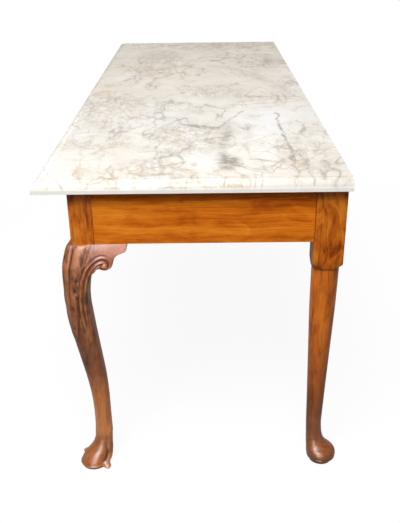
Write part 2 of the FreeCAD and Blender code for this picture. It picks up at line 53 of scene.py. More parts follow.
CORNERS = [f"{end}_{side}" for end in ("front", "back") for side in ("left", "right")]

# Carved pieces are worked out in millimetres from the outer corner of a front post: "out" across the
# face that carries the carving, "along" that face from the corner, and "drop" below the rails, which
# is negative going down.
MM = 0.001
POST = 52.0
BRACKET_LENGTH, BRACKET_DEPTH = 71.0, 57.0
FOOT_HEIGHT = 70.0
POST_ROUNDING = 1.5
BLOCK, BLOCK_DROP, BLOCK_ROUNDING = 64.0, 70.0, 4.5
BLOCK_SPREAD, BACK_LEG_PROUD = 1.055, 2.75
POMMEL_RISE = 15.0
CLUB_HEIGHT, PAD_HEIGHT = 105.0, 5.0
RAIL_HEIGHT = (FRAME_TOP - RAIL_BOTTOM) / MM
LEG_HEIGHT = RAIL_BOTTOM / MM
# New meshes keep edges sharper than the first angle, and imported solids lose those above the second
SHARP_ANGLE, BEVEL_ANGLE = math.radians(35), math.radians(40)
WELD_DISTANCE = 0.00002


def spline(stations, x, column=1):
    """Smooth curve through stations, read at x."""
    table = np.array(stations, float)
    xs, ys = table[:, 0], table[:, column]
    slopes = np.gradient(ys, xs)
    x = np.clip(x, xs[0], xs[-1])
    i = np.clip(np.searchsorted(xs, x) - 1, 0, len(xs) - 2)
    step = xs[i + 1] - xs[i]
    t = (x - xs[i]) / step
    start = (1 + 2 * t) * (1 - t) ** 2 * ys[i] + t * (1 - t) ** 2 * step * slopes[i]
    return start + t * t * (3 - 2 * t) * ys[i + 1] + t * t * (t - 1) * step * slopes[i + 1]


def smoothstep(low, high, x):
    t = np.clip((x - low) / (high - low), 0, 1)
    return t * t * (3 - 2 * t)


def bead(distance, width):
    """A rounded rise of height 1 over a line."""
    return np.exp(-(distance / width) ** 2)


def moulding(distance, beads):
    """Height of a row of rises and hollows, each a place, a height and a half width."""
    return sum(height * bead(distance - place, width) for place, height, width in beads)


def curve_points(corners, count):
    """Even points on a smooth curve through a few points of the plane."""
    corners = np.array(corners, float)
    reach = np.concatenate([[0], np.cumsum(np.linalg.norm(np.diff(corners, axis=0), axis=1))])
    at = np.linspace(0, reach[-1], count)
    axes = [spline(np.stack([reach, corners[:, axis]], 1), at) for axis in (0, 1)]
    return np.stack(axes, 1)


def line_distance(along, drop, line):
    """Distance from a curve in the carved face, and its side: 1 on the right going along it, or -1."""
    best = np.full(along.shape, np.inf)
    side = np.zeros(along.shape)
    for (x0, y0), (x1, y1) in zip(line[:-1], line[1:]):
        dx, dy = x1 - x0, y1 - y0
        t = np.clip(((along - x0) * dx + (drop - y0) * dy) / (dx * dx + dy * dy), 0, 1)
        distance = np.hypot(along - x0 - t * dx, drop - y0 - t * dy)
        nearer = distance < best
        best = np.where(nearer, distance, best)
        side = np.where(nearer, np.sign((along - x0) * dy - (drop - y0) * dx), side)
    return best, side


def ring_faces(rings, count):
    """Faces of a tube of rings, then the two that close its first and last ring."""
    last = (rings - 1) * count
    faces = []
    for start in range(0, last, count):
        for k in range(count):
            following = (k + 1) % count
            faces.append((start + k, start + following, start + count + following, start + count + k))
    return faces + [tuple(range(count)), tuple(range(last, last + count))]


def add_mesh(name, points, faces, finishes, finish_of_face=None):
    """A new object from points in metres, with its faces turned outward."""
    mesh = bpy.data.meshes.new(name)
    mesh.from_pydata([tuple(p) for p in points], [], [tuple(f) for f in faces])
    for finish in finishes:
        mesh.materials.append(finish)
    if finish_of_face is not None:
        mesh.polygons.foreach_set("material_index", finish_of_face)
    shell = bmesh.new()
    shell.from_mesh(mesh)
    bmesh.ops.recalc_face_normals(shell, faces=shell.faces)
    shell.to_mesh(mesh)
    shell.free()
    mesh.polygons.foreach_set("use_smooth", [True] * len(mesh.polygons))
    mesh.set_sharp_from_angle(angle=SHARP_ANGLE)
    piece = bpy.data.objects.new(name, mesh)
    bpy.context.scene.collection.objects.link(piece)
    return piece


def set_inputs(tree, node, inputs):
    """Links and constants of a shader node."""
    for key, source in inputs.items():
        if isinstance(source, bpy.types.NodeSocket):
            tree.links.new(source, node.inputs[key])
        else:
            node.inputs[key].default_value = source


def add_node(tree, kind, inputs=None, **settings):
    """A shader node with its settings, constants and links."""
    node = tree.nodes.new(kind)
    for key, setting in settings.items():
        setattr(node, key, setting)
    set_inputs(tree, node, inputs or {})
    return node


def math_node(tree, operation, first, second=0.0, clamp=False):
    node = add_node(tree, "ShaderNodeMath", {0: first, 1: second}, operation=operation, use_clamp=clamp)
    return node.outputs[0]


def multiply(tree, first, second):
    return math_node(tree, "MULTIPLY", first, second)


def joined(tree, operation, values):
    """One value from many, taken in one after the other."""
    total, *others = values
    for value in others:
        total = math_node(tree, operation, total, value)
    return total


def vector_node(tree, operation, first, second=(0, 0, 0)):
    """Vector arithmetic, or the number that comes of it."""
    second_key = "Scale" if operation == "SCALE" else 1
    node = add_node(tree, "ShaderNodeVectorMath", {0: first, second_key: second}, operation=operation)
    gives_number = operation in ("LENGTH", "DISTANCE", "DOT_PRODUCT")
    return node.outputs["Value" if gives_number else "Vector"]


def ramp(tree, factor, stops):
    """Colour ramp with stops of (place, colour)."""
    node = add_node(tree, "ShaderNodeValToRGB", {"Fac": factor})
    elements = node.color_ramp.elements
    while len(elements) < len(stops):
        elements.new(0.5)
    for element, (place, colour) in zip(elements, stops):
        element.position = place
        element.color = (*colour, 1)
    return node.outputs["Color"]


def fade(tree, value, low, high, low_out=0.0, high_out=1.0):
    """Smooth step of a value between two limits."""
    node = add_node(
        tree, "ShaderNodeMapRange",
        {"Value": value, "From Min": low, "From Max": high, "To Min": low_out, "To Max": high_out},
        interpolation_type="SMOOTHSTEP")
    return node.outputs["Result"]


def mix_colour(tree, factor, first, second):
    node = add_node(tree, "ShaderNodeMix", {0: factor}, data_type="RGBA")
    first_key, second_key = (k for k, socket in enumerate(node.inputs) if socket.type == "RGBA")
    first, second = ((*c, 1) if isinstance(c, tuple) else c for c in (first, second))
    set_inputs(tree, node, {first_key: first, second_key: second})
    return next(socket for socket in node.outputs if socket.type == "RGBA")


def bump(tree, height, strength, distance=0.001):
    inputs = {"Height": height, "Strength": strength, "Distance": distance}
    return add_node(tree, "ShaderNodeBump", inputs).outputs["Normal"]


def noise(tree, vector, scale, detail=4.0, roughness=0.5, distortion=0.0, output="Fac"):
    node = add_node(tree, "ShaderNodeTexNoise", {
        "Vector": vector, "Scale": scale, "Detail": detail, "Roughness": roughness,
        "Distortion": distortion})
    return node.outputs[output]


def new_material(name):
    material = bpy.data.materials.new(name)
    material.use_nodes = True
    tree = material.node_tree
    shader = tree.nodes["Principled BSDF"]
    return material, tree, shader


def stretched(tree, place, scale):
    return add_node(tree, "ShaderNodeMapping", {"Vector": place, "Scale": scale}).outputs[0]


def place_vector(tree, scale=(1, 1, 1)):
    """The place on the object in metres, stretched by a scale per axis."""
    return stretched(tree, add_node(tree, "ShaderNodeTexCoord").outputs["Object"], scale)


def level_on(tree):
    """The height on the object in metres."""
    return add_node(tree, "ShaderNodeSeparateXYZ", {0: place_vector(tree)}).outputs["Z"]


def weighted(tree, *terms):
    """Sum of values, each times its weight."""
    return joined(tree, "ADD", [multiply(tree, value, weight) for value, weight in terms])


def warped_place(tree, scale, reach):
    """The place on the object, pushed about by soft noise."""
    push = noise(tree, place_vector(tree, scale), 1.0, 2.0, output="Color")
    push = vector_node(tree, "SUBTRACT", push, (0.5, 0.5, 0.5))
    return vector_node(tree, "ADD", place_vector(tree), vector_node(tree, "SCALE", push, reach))


POLISH_ROUGHNESS = 0.34


def wood_material(
        name, grain, palette, gloss, specular, lower=(), stain=None, mottling=0.44, streaks=0.20,
        contrast=0.12, polish=None):
    """Waxed wood with its grain along one axis: figure, mottling, streaks and pores.

    lower holds further palettes for the wood below, each with the heights between which it takes over.
    stain is for carved wood: how dark its blotches are. Carved wood is also darker in its hollows, a
    painted shade that is partly dirt, and lighter on its ridges, a painted highlight that is partly
    rubbed wear. polish holds the weight of a hard polish and the heights between which it builds up.
    """
    material, tree, shader = new_material(name)

    def along_grain(across, along):
        return tuple(along if axis == grain else across for axis in range(3))

    wavy = warped_place(tree, along_grain(9.0, 5.0), 0.022)
    level = level_on(tree)

    def grain_noise(across, along, detail, roughness):
        return noise(tree, stretched(tree, wavy, along_grain(across, along)), 1.0, detail, roughness)

    figure = grain_noise(30.0, 2.0, 4.0, 0.62)
    streak = grain_noise(230.0, 5.0, 3.0, 0.6)
    fleck = grain_noise(900.0, 30.0, 2.0, 0.55)
    mottle = noise(tree, place_vector(tree, along_grain(34.0, 13.0)), 1.0, 5.0, 0.6, 1.1)
    tone = weighted(tree, (figure, 1 - mottling - streaks), (mottle, mottling), (streak, streaks))

    def coloured(shades):
        dark, middle, light = shades
        return ramp(tree, tone, [(0.5 - contrast, dark), (0.5, middle), (0.5 + contrast, light)])

    def deepest(share):
        return tuple(share * c for c in palette[0])

    colour = coloured(palette)
    for lower_palette, top, bottom in lower:
        colour = mix_colour(tree, fade(tree, level, top, bottom), colour, coloured(lower_palette))
    pores = fade(tree, fleck, 0.56, 0.70)
    colour = mix_colour(tree, multiply(tree, pores, 0.35), colour, deepest(0.4))
    if stain is not None:
        depth = add_node(tree, "ShaderNodeAttribute", attribute_name="relief").outputs["Fac"]
        # Painted shade in the carved hollows, partly dirt
        hollow = fade(tree, depth, -0.08, -0.60, 0.0, 0.85)
        colour = mix_colour(tree, hollow, colour, deepest(0.35))
        # Painted highlight on the carved ridges, partly rubbed wear
        worn = fade(tree, depth, 0.20, 0.75, 0.0, 0.75)
        colour = mix_colour(tree, worn, colour, tuple(1.1 * c for c in palette[2]))
        blotch = noise(tree, place_vector(tree, (45, 45, 20)), 1.0, 4.0, 0.65)
        high_up = fade(tree, level, 0.26, 0.44, 0.05, stain)
        stained = multiply(tree, fade(tree, blotch, 0.44, 0.62), high_up)
        colour = mix_colour(tree, stained, colour, deepest(0.6))
    rough = math_node(tree, "ADD", weighted(tree, (streak, 0.10), (mottle, 0.14)), gloss - 0.12)
    height = weighted(tree, (streak, 0.6), (pores, -1.0), (figure, 1.2))
    set_inputs(tree, shader, {
        "Base Color": colour, "Roughness": rough, "Specular IOR Level": specular,
        "Normal": bump(tree, height, 0.15, 0.0005)})
    if polish:
        weight, top, bottom = polish
        coat = fade(tree, level, top, bottom, 0.0, weight)
        set_inputs(tree, shader, {"Coat Weight": coat, "Coat Roughness": POLISH_ROUGHNESS})
    return material


# Veins that stand out on the slab: tint, half width in millimetres, strength and places in metres
MARBLE_VEINS = [
    ("grey", 15, 0.80, [(0.478, -0.04), (0.500, 0.0), (0.525, 0.054)]),
    ("grey", 7, 0.60, [(0.52, 0.055), (0.44, 0.09), (0.335, 0.133)]),
    ("grey", 22, 0.50, [(0.51, 0.079), (0.65, 0.075), (0.79, 0.07)]),
    ("grey", 7, 0.80, [(0.37, 0.23), (0.46, 0.222), (0.54, 0.219), (0.625, 0.222), (0.78, 0.227)]),
    ("grey", 8, 0.45, [(0.45, 0.276), (0.52, 0.279), (0.58, 0.27)]),
    ("grey", 5, 0.55, [(0.70, 0.20), (0.735, 0.235), (0.74, 0.265), (0.72, 0.31)]),
    ("grey", 5, 0.55, [(0.735, 0.235), (0.80, 0.25), (0.94, 0.245)]),
    ("grey", 5, 0.50, [(0.84, 0.09), (0.87, 0.16)]),
    ("ochre", 9, 0.80, [
        (0.885, -0.145), (0.90, -0.107), (0.888, -0.077), (0.835, -0.073), (0.81, -0.03)]),
    ("ochre", 7, 0.50, [(0.745, -0.245), (0.71, -0.222), (0.69, -0.20)]),
    ("ochre", 9, 0.50, [(0.33, -0.30), (0.37, -0.25), (0.39, -0.20), (0.42, -0.13)]),
    ("ochre", 7, 0.45, [(0.56, -0.30), (0.55, -0.235), (0.54, -0.18), (0.60, -0.12)]),
    ("ochre", 6, 0.50, [(0.86, -0.19), (0.90, -0.175), (0.94, -0.160)]),
    ("grey", 14, 0.50, [(0.0, -0.155), (-0.13, -0.148), (-0.15, -0.125), (-0.21, -0.08)]),
    ("grey", 11, 0.40, [(-0.45, 0.05), (-0.54, 0.18), (-0.60, 0.20), (-0.58, 0.30)]),
    ("grey", 11, 0.40, [(-0.32, 0.18), (-0.33, 0.25), (-0.50, 0.265)]),
    ("haze", 40, 0.60, [(-0.37, 0.05), (-0.24, 0.17), (-0.03, 0.24), (0.07, 0.28)]),
]
# Patches of the same: tint, strength, place and half size
MARBLE_PATCHES = [
    ("grey", 0.98, (0.815, 0.075), (0.075, 0.036)), ("grey", 0.45, (0.565, 0.275), (0.040, 0.013)),
    ("grey", 0.50, (0.090, 0.030), (0.035, 0.016)), ("ochre", 0.45, (0.100, -0.310), (0.050, 0.024)),
    ("grey", 0.45, (0.830, -0.005), (0.022, 0.014)), ("grey", 0.40, (0.500, -0.010), (0.025, 0.045)),
    ("haze", 0.45, (-0.600, -0.150), (0.160, 0.090)), ("grey", 0.50, (0.770, 0.225), (0.045, 0.013)),
    ("ochre", 0.45, (0.540, -0.180), (0.022, 0.016)), ("ochre", 0.40, (0.880, -0.240), (0.040, 0.030))]
# Where small veins make a close network: place and half size
MARBLE_NETWORKS = [
    ((0.60, -0.02), (0.19, 0.11)), ((0.75, 0.26), (0.13, 0.08)), ((0.08, 0.05), (0.12, 0.12)),
    ((0.26, -0.09), (0.09, 0.07)), ((0.30, -0.24), (0.26, 0.12)), ((0.84, -0.10), (0.08, 0.08)),
    ((-0.55, -0.14), (0.24, 0.12)), ((-0.45, 0.22), (0.20, 0.10)), ((-0.80, 0.05), (0.12, 0.20))]
# Cloudy ground of the slab: place on the ramp and colour
MARBLE_CLOUDS = [
    (0.32, (0.71, 0.668, 0.600)), (0.48, (0.780, 0.748, 0.696)), (0.64, (0.825, 0.808, 0.785))]
# Warm tint of the slab, and a lighter colour painted on the lower part of its edge as painted light
MARBLE_WARM, MARBLE_EDGE_PAINTED_LIGHT = (0.74, 0.64, 0.51), (0.92, 0.895, 0.85)
MARBLE_TINTS = {"grey": (0.31, 0.275, 0.23), "ochre": (0.50, 0.385, 0.24), "haze": (0.57, 0.54, 0.49)}


def segment_distance(tree, place, start, end):
    """Distance of a place from a straight stretch on the slab."""
    run = Vector((end[0] - start[0], end[1] - start[1], 0))
    offset = vector_node(tree, "SUBTRACT", place, (*start, 0))
    share = vector_node(tree, "DOT_PRODUCT", offset, run / run.length_squared)
    share = math_node(tree, "MULTIPLY", share, 1.0, clamp=True)
    return vector_node(tree, "DISTANCE", offset, vector_node(tree, "SCALE", run, share))


def patch_distance(tree, place, middle, half):
    """Distance of a place from the middle of a patch, 1 at its edge."""
    offset = vector_node(tree, "SUBTRACT", place, (*middle, 0))
    scaled = vector_node(tree, "MULTIPLY", offset, (1 / half[0], 1 / half[1], 0))
    return vector_node(tree, "LENGTH", scaled)


def marble_material():
    """Cream white marble: clear cells between veins, close networks of small ones, and dark patches."""
    material, tree, shader = new_material("marble")
    place = place_vector(tree)
    bent = stretched(tree, warped_place(tree, (3, 6, 6), 0.10), (0.45, 1, 1))
    jagged = warped_place(tree, (45, 45, 45), 0.030)
    wandering = warped_place(tree, (13, 13, 13), 0.075)
    flat = vector_node(tree, "MULTIPLY", vector_node(tree, "ADD", wandering, jagged), (0.5, 0.5, 0))
    broken = noise(tree, place, 48.0, 4.0, 0.65)

    def ridges(scale, detail):
        field = noise(tree, bent, scale, detail, 0.58)
        return math_node(tree, "ABSOLUTE", math_node(tree, "SUBTRACT", field, 0.5))

    def cracks(scale):
        cells = add_node(
            tree, "ShaderNodeTexVoronoi", {"Vector": flat, "Scale": scale}, feature="DISTANCE_TO_EDGE")
        return cells.outputs["Distance"]

    def presence(scale, low, high):
        return fade(tree, noise(tree, place, scale, 3.0, 0.55), low, high)

    def tinted(line, share, tint):
        return mix_colour(tree, multiply(tree, line, share), colour, MARBLE_TINTS[tint])

    colour = ramp(tree, noise(tree, bent, 4.0, 6.0, 0.62), MARBLE_CLOUDS)
    warm = joined(tree, "MAXIMUM", [
        fade(tree, patch_distance(tree, flat, (0.00, -0.27), (0.75, 0.20)), 1.0, 0.2, 0.0, 0.65),
        fade(tree, patch_distance(tree, flat, (-0.65, 0.00), (1.20, 0.80)), 1.0, 0.3, 0.0, 0.80),
        multiply(tree, presence(2.6, 0.54, 0.75), 0.6)])
    colour = mix_colour(tree, multiply(tree, warm, 0.60), colour, MARBLE_WARM)

    zones = [patch_distance(tree, flat, *zone) for zone in MARBLE_NETWORKS]
    network = joined(tree, "MAXIMUM", [fade(tree, zone, 1.15, 0.45) for zone in zones])
    spots = fade(tree, broken, 0.54, 0.70)
    uneven = fade(tree, broken, 0.34, 0.58, 0.25, 1.0)
    long_veins, veins, small_veins = ridges(4.6, 3.0), ridges(9.0, 4.0), ridges(20.0, 4.0)
    long_where, where = presence(3.0, 0.36, 0.54), presence(4.0, 0.44, 0.60)
    close = math_node(tree, "MAXIMUM", network, presence(5.0, 0.56, 0.68))
    some_long, some, some_close = (multiply(tree, w, uneven) for w in (long_where, where, close))
    for field, width, shown_where, strength, tint in (
            (long_veins, 0.060, long_where, 0.20, "haze"),
            (veins, 0.080, where, 0.19, "ochre"),
            (small_veins, 0.12, close, 0.22, "haze"),
            (long_veins, 0.012, some_long, 0.64, "grey"),
            (veins, 0.018, some, 0.60, "ochre"),
            (small_veins, 0.034, some_close, 0.40, "ochre"),
            (cracks(12.0), 0.030, some, 0.60, "grey"),
            (cracks(27.0), 0.055, some_close, 0.55, "ochre"),
            (ridges(34.0, 4.0), 0.080, network, 0.26, "grey")):
        colour = tinted(multiply(tree, fade(tree, field, width, 0.0), shown_where), strength, tint)
    spotted = math_node(tree, "MAXIMUM", network, presence(8.0, 0.54, 0.66))
    colour = tinted(multiply(tree, spots, spotted), 0.22, "grey")
    for tint, width, strength, points in MARBLE_VEINS:
        stretches = [segment_distance(tree, flat, *ends) for ends in zip(points[:-1], points[1:])]
        nearest = joined(tree, "MINIMUM", stretches)
        colour = tinted(fade(tree, nearest, width * MM, 0.15 * width * MM, 0.0, strength), uneven, tint)
    for tint, strength, middle, half in MARBLE_PATCHES:
        blot = fade(tree, patch_distance(tree, flat, middle, half), 1.1, 0.3, 0.0, strength)
        colour = tinted(blot, uneven, tint)
    # Painted light: the lower part of the slab's moulded edge is coloured lighter against its shade
    edge = fade(tree, level_on(tree), FRAME_TOP + 0.013, FRAME_TOP + 0.007, 0.0, 0.85)
    colour = mix_colour(tree, edge, colour, MARBLE_EDGE_PAINTED_LIGHT)
    worn = noise(tree, place, 14.0, 4.0, 0.6)
    grain = noise(tree, place, 700.0, 2.0)
    set_inputs(tree, shader, {
        "Base Color": colour, "Roughness": fade(tree, worn, 0.3, 0.7, 0.24, 0.38),
        "Specular IOR Level": 0.35, "Normal": bump(tree, grain, 0.05, 0.0003)})
    return material


GRAIN_X, GRAIN_Y, GRAIN_Z = range(3)
RAIL_PALETTE = ((0.41, 0.071, 0.003), (0.69, 0.168, 0.008), (0.84, 0.270, 0.020))
POST_PALETTE = ((0.25, 0.042, 0.003), (0.52, 0.121, 0.006), (0.72, 0.214, 0.017))
SHAFT_PALETTE = ((0.40, 0.075, 0.006), (0.71, 0.176, 0.012), (0.86, 0.268, 0.026))
LEG_PALETTE = ((0.11, 0.024, 0.007), (0.33, 0.095, 0.025), (0.50, 0.176, 0.056))
ANKLE_PALETTE = ((0.37, 0.103, 0.022), (0.73, 0.238, 0.054), (0.85, 0.335, 0.090))
CLUB_PALETTE = ((0.12, 0.030, 0.008), (0.28, 0.080, 0.017), (0.42, 0.142, 0.038))
BRACKET_PALETTE = ((0.22, 0.060, 0.024), (0.36, 0.108, 0.042), (0.50, 0.175, 0.074))
FOOT_PALETTE = ((0.16, 0.042, 0.006), (0.36, 0.098, 0.011), (0.50, 0.155, 0.022))
INNER_PALETTE = ((0.26, 0.16, 0.075), (0.42, 0.28, 0.15), (0.55, 0.40, 0.24))

MARBLE = marble_material()
WAXED = {"gloss": 0.36, "specular": 0.10}
RAIL_FIGURE = {"mottling": 0.26, "streaks": 0.30, "contrast": 0.115}
RAIL_X = wood_material("rail_wood_x", GRAIN_X, RAIL_PALETTE, **WAXED, **RAIL_FIGURE)
RAIL_Y = wood_material("rail_wood_y", GRAIN_Y, RAIL_PALETTE, **WAXED, **RAIL_FIGURE)
POST_WOOD = wood_material("post_wood", GRAIN_Z, POST_PALETTE, **WAXED, mottling=0.56, contrast=0.085)
LEG_WOOD = wood_material(
    "leg_wood", GRAIN_Z, LEG_PALETTE, 0.38, 0.55,
    [(ANKLE_PALETTE, 0.30, 0.17), (FOOT_PALETTE, 0.10, 0.045)],
    stain=0.80, mottling=0.34, contrast=0.13, polish=(0.9, 0.25, 0.04))
BRACKET_WOOD = wood_material(
    "bracket_wood", GRAIN_Z, BRACKET_PALETTE, 0.38, 0.60, stain=0.15, mottling=0.26, contrast=0.14)
SHAFT_WOOD = wood_material(
    "shaft_wood", GRAIN_Z, SHAFT_PALETTE, 0.30, 0.25, [(CLUB_PALETTE, 0.44, 0.10)], mottling=0.36,
    polish=(0.9, 0.20, 0.05))
INNER_Y = wood_material("inner_wood_y", GRAIN_Y, INNER_PALETTE, 0.60, 0.2)
INNER_Z = wood_material("inner_wood_z", GRAIN_Z, INNER_PALETTE, 0.60, 0.2)
PEG_WOOD = wood_material("peg_wood", GRAIN_Z, POST_PALETTE, **WAXED)


def soften(node, material, width):
    """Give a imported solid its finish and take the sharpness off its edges."""
    node.data.materials.clear()
    node.data.materials.append(material)
    weld = node.modifiers.new("weld", "WELD")
    weld.merge_threshold = WELD_DISTANCE
    bevel = node.modifiers.new("soft_edges", "BEVEL")
    bevel.width = width
    bevel.segments = 2
    bevel.limit_method = "ANGLE"
    bevel.angle_limit = BEVEL_ANGLE
    bevel.harden_normals = True


soften(nodes["marble_top"], MARBLE, 0.0012)
for name, finish in (
        ("front_rail", RAIL_X), ("back_rail", RAIL_X),
        ("left_end_rail", RAIL_Y), ("right_end_rail", RAIL_Y)):
    soften(nodes[name], finish, 0.0008)
for name in ("left_bearer", "centre_bearer", "right_bearer"):
    soften(nodes[name], INNER_Y, 0.0010)
for corner in CORNERS:
    soften(nodes[f"{corner}_glue_blocks"], INNER_Z, 0.0008)

# Cabriole leg: height as a share from the ankle to the foot of the knee bracket. The rest are shares
# of the post: outer and inner face from the outer face of the post, then the rounding of the outer,
# the two side and the inner corners.
SHIN_SHARES = [
    (0.000, 0.190, 1.055, 0.380, 0.320, 0.380),
    (0.052, 0.232, 1.040, 0.355, 0.330, 0.355),
    (0.135, 0.247, 1.030, 0.350, 0.340, 0.350),
    (0.250, 0.202, 1.022, 0.365, 0.345, 0.360),
    (0.375, 0.072, 0.973, 0.385, 0.345, 0.370),
    (0.500, -0.105, 0.870, 0.410, 0.330, 0.360),
    (0.625, -0.282, 0.752, 0.430, 0.290, 0.320),
    (0.738, -0.405, 0.655, 0.430, 0.240, 0.260),
    (0.821, -0.455, 0.592, 0.420, 0.160, 0.200),
    (0.884, -0.465, 0.605, 0.400, 0.090, 0.140),
    (0.925, -0.463, 0.660, 0.390, 0.060, 0.100),
    (0.956, -0.458, 0.727, 0.380, 0.045, 0.080),
    (0.974, -0.454, 0.790, 0.380, 0.035, 0.060),
    (0.989, -0.449, 0.880, 0.380, 0.020, 0.060),
    (1.000, -0.444, 1.000, 0.380, 0.010, 0.060),
]
# Knee beside its brackets, as above with the height a share of the bracket
KNEE_SHARES = [
    (0.00, -0.444, 1.000, 0.380, 0.010, 0.060),
    (0.12, -0.434, 1.000, 0.376, 0.010, 0.060),
    (0.35, -0.382, 1.000, 0.360, 0.010, 0.060),
    (0.70, -0.282, 1.000, 0.300, 0.010, 0.060),
    (1.00, -0.162, 1.000, 0.220, 0.010, 0.060),
]
# Middle lobe of the foot: share of the foot's height, then centre and radius in shares of the post
LOBE_SHARES = [
    (0.00, 0.132, 0.650), (0.06, 0.134, 0.660), (0.17, 0.142, 0.636), (0.27, 0.168, 0.600),
    (0.36, 0.215, 0.562), (0.45, 0.285, 0.520), (0.55, 0.385, 0.470), (0.66, 0.468, 0.425),
    (0.83, 0.545, 0.398), (1.00, 0.590, 0.375)]
# Side toe: share of the foot's height, then its centre outward and along, and its radius
TOE_SHARES = [
    (0.00, -0.330, 0.810, 0.145), (0.08, -0.345, 0.810, 0.160), (0.15, -0.290, 0.825, 0.155),
    (0.23, -0.010, 0.865, 0.148), (0.34, 0.190, 0.890, 0.145), (0.55, 0.310, 0.900, 0.142),
    (0.86, 0.365, 0.910, 0.142), (1.36, 0.420, 0.900, 0.125), (1.80, 0.450, 0.870, 0.020),
    (2.20, 0.470, 0.850, -0.100)]
FOOT_INNER_SHARE, FOOT_INNER_FILLET = 1.05, 2.0
# Fillet between toe and lobe, and how much wider it is at half the height of the foot
TOE_FILLET, TOE_FILLET_EXTRA = 1.8, 3.4
# Groove that sets the toe's long ridge off from the ankle: place along the face, depth and half width
TOE_GROOVE = [(40.5, -0.9, 3.0)]
# Rim over the sole, as level, height and half width, and how far the sole is cut back below it
RIM_SECTION, SOLE_CUT = [(7.5, 1.5, 2.2)], 1.8
# Levels of the rings of the leg, as first, end and spacing: close on the foot and the carved knee
LEG_RINGS = [(0, 8, 0.8), (8, 90, 1.6), (90, 350, 4.0), (350, LEG_HEIGHT - 0.5, 1.15)]
# The leg's surface is found from outside by steps inward, then eased on the foot
TRACE_START, TRACE_STEPS, EASE_ROUNDS = 80.0, 70, 5

# Knee bracket in side view, as shares of its length and depth. The word marks the middle of a round
# stretch between its neighbours.
BRACKET_SHARES = [
    (1.00, 0.00), (0.99, -0.11), (0.965, -0.235, "round"), (0.91, -0.310), (0.79, -0.355),
    (0.630, -0.470, "round"), (0.545, -0.690), (0.30, -1.000, "round"), (0.125, -0.915),
    (0.060, -0.922, "round"), (0.00, -0.955)]
BRACKET_FALL_SHARE, BRACKET_ROUNDING = 1.8, 1.4
# How far the far end of the bracket stands out from the rail at each drop
BRACKET_ROLL = [
    (-57, 11.0), (-34, 12.2), (-27, 11.8), (-20, 10.5), (-14, 8.4), (-8, 5.6), (-3, 2.9), (0, 1.0)]
CROWN_HEIGHT, CROWN_TILT = 19.0, math.radians(36)

# C-scroll: its outer ridge from the volute over the bracket and down the leg, the inner ridge of the
# same band, and the eye of the volute, all as (along, drop)
RIDGE = curve_points([
    (73.0, -54.8), (81.0, -53.0), (86.6, -45.0), (83.0, -34.0), (77.0, -29.2), (69.7, -27.0),
    (62.0, -27.3), (55.0, -30.2), (42.5, -39.1), (30.8, -54.3), (22.5, -73.4), (17.2, -95.4),
    (13.7, -120.2), (12.4, -145.8), (14.2, -170.0), (19.0, -210.0), (22.0, -235.0)], 70)
INNER_RIDGE = curve_points([
    (77.6, -45.5), (74.8, -40.4), (69.5, -38.8), (61.5, -39.4), (50.0, -45.8), (41.5, -55.4),
    (34.4, -71.7), (28.9, -89.7), (25.5, -112.6), (24.2, -136.2), (24.0, -160.0), (25.0, -200.0),
    (26.0, -235.0)], 60)
SCROLL_EYE, EYE_RADIUS, EYE_HEIGHT = (72.3, -47.3), 6.8, 2.4
# Sections of the scroll: distance inside a ridge, height and half width of each rise or hollow
RIDGE_SECTION = [(0.0, 1.7, 2.4), (-4.4, -0.8, 1.9)]
BAND_SECTION = [(6.0, -1.3, 2.8)]
INNER_SECTION = [(0.0, 1.2, 1.9), (3.8, -0.8, 1.6)]
EYE_SECTION = [(8.0, -0.8, 1.5)]
# Drops at which the scroll and the leaf have run out, and where they are at full height
SCROLL_FADE, LEAF_FADE = (-236, -190), (-262, -215)

# Leaf on the knee: half its width, measured round the corner, at each drop
LEAF_WIDTHS = [
    (-258, 0.5), (-240, 7), (-215, 14), (-180, 21), (-140, 27), (-100, 34), (-62, 40), (-30, 43),
    (-12, 44), (0, 44)]
# Drilled eyes between the leaflets: place round the corner, drop, half width, half height and depth
LEAF_EYES = [
    (29, -80, 3.4, 8.0, 2.6), (23, -106, 5.6, 11.0, 4.4), (26, -124, 3.4, 7.0, 3.0),
    (14, -152, 2.6, 10.0, 2.4), (9, -205, 2.2, 9.0, 1.8), (28, -214, 7.0, 12.0, 1.5)]


def carve_scroll(along, drop):
    """Height of the C-scroll over the plain surface."""
    distance, side = line_distance(along, drop, RIDGE)
    inside = -side * distance
    inner, inner_side = line_distance(along, drop, INNER_RIDGE)
    curl = 1 - 0.6 * smoothstep(72, 82, along)
    height = curl * moulding(inside, RIDGE_SECTION) + moulding(inside, BAND_SECTION)
    height += moulding(-inner_side * inner, INNER_SECTION)
    height *= smoothstep(*SCROLL_FADE, drop)
    radius = np.hypot(along - SCROLL_EYE[0], drop - SCROLL_EYE[1])
    height *= smoothstep(5.0, 8.0, radius)
    boss = EYE_HEIGHT * np.sqrt(np.clip(1 - (radius / EYE_RADIUS) ** 2, 0, 1))
    return height + boss + moulding(radius, EYE_SECTION)


def carve_leaf(around, drop):
    """Height of the fluted leaf on the corner of the knee."""
    width = np.maximum(spline(LEAF_WIDTHS, drop), 0.4)
    share = around / width
    inside = smoothstep(1.06, 0.94, share)
    deep = 1.0 + 2.3 * smoothstep(-240, -80, drop)
    flutes = deep * (np.abs(np.cos(1.5 * math.pi * share)) ** 0.8 - 0.6)
    height = inside * (1.4 + flutes) - 0.9 * bead((share - 1.09) * width, 2.2)
    for place, level, wide, high, depth in LEAF_EYES:
        height -= depth * np.exp(-((around - place) / wide) ** 2 - ((drop - level) / high) ** 2)
    return height * smoothstep(*LEAF_FADE, drop)


def crown(drop):
    """How far the top of the knee and its brackets has turned inward at a drop."""
    radius = CROWN_HEIGHT / math.sin(CROWN_TILT)
    return radius - np.sqrt(radius ** 2 - np.clip(drop + CROWN_HEIGHT, 0, CROWN_HEIGHT) ** 2)


def cavity(height, rounds=2, reach=6):
    """Height of each point of a carved grid over its neighbourhood."""
    level = height
    for _ in range(rounds):
        for axis in (0, 1):
            level = sum(np.roll(level, k, axis) for k in range(-reach, reach + 1)) / (2 * reach + 1)
    return height - level


